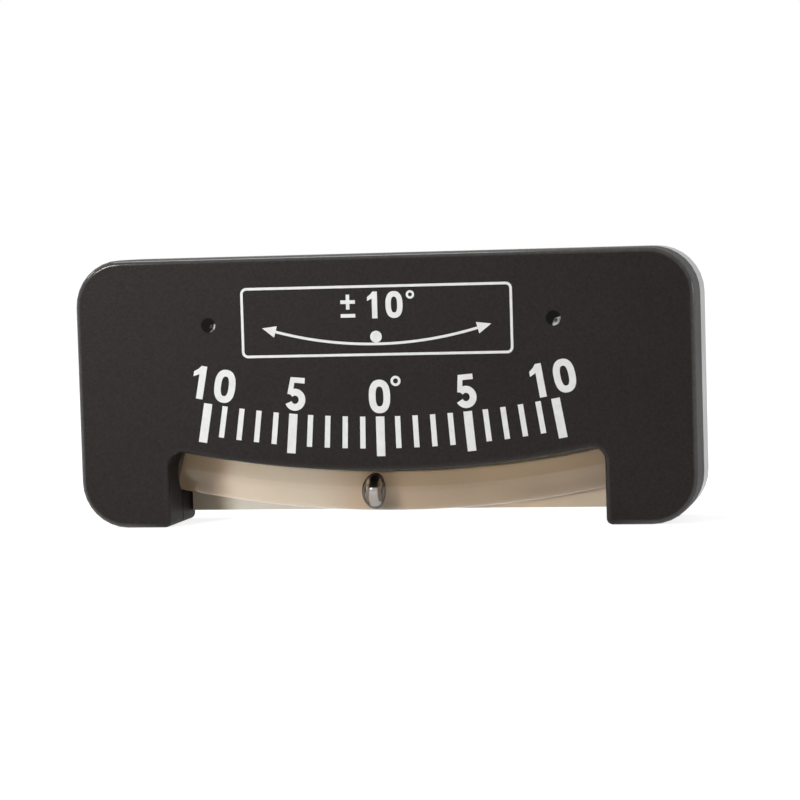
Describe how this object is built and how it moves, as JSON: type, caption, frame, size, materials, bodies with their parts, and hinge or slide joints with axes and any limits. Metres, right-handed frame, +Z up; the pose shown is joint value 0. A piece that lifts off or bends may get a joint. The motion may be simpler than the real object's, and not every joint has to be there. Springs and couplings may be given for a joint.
{
  "type": "ball clinometer",
  "caption": "Flat black case on two feet with an arched window, where a steel ball rolls along a curved clear tube under a degree scale.",
  "frame": {"origin": "centre of the bounding box at the bottom of the two feet", "axes": "+X along the scale to the reader's right, +Y from the printed face to the back, +Z up"},
  "size_m": [0.1016, 0.0164, 0.0439],
  "materials": {
    "black_housing_plastic": "fine matte grain, white print on the face",
    "black_cover_plastic": "satin, moulded",
    "cream_backing": "satin cream",
    "clear_tube": "clear, polished",
    "polished_ball_steel": "mirror polished bearing ball",
    "plug_plastic": "turned black plastic",
    "seal_rubber": "moulded ring",
    "cushion_rubber": "soft moulded block",
    "foam_tape": "closed-cell foam with adhesive faces",
    "screw_steel": "bright zinc plate"
  },
  "bodies": {
    "case": {"front_housing": "black_housing_plastic", "rear_cover": "black_cover_plastic", "backing_plate": "cream_backing", "vial_tube": "clear_tube", "left_end_plug": "plug_plastic", "right_end_plug": "plug_plastic", "left_plug_seal": "seal_rubber", "right_plug_seal": "seal_rubber", "left_tube_cushion": "cushion_rubber", "right_tube_cushion": "cushion_rubber", "left_adhesive_pad": "foam_tape", "right_adhesive_pad": "foam_tape", "cover_screw_1": "screw_steel", "cover_screw_2": "screw_steel", "cover_screw_3": "screw_steel", "cover_screw_4": "screw_steel"},
    "ball": {"ball": "polished_ball_steel"}
  },
  "joints": [
    {"name": "ball_roll", "type": "hinge", "parent": "case", "child": "ball", "pos_m": [0, 0.00108, 0.182], "axis": [0, -1, 0], "range_deg": [-10, 12.2]}
  ]
}
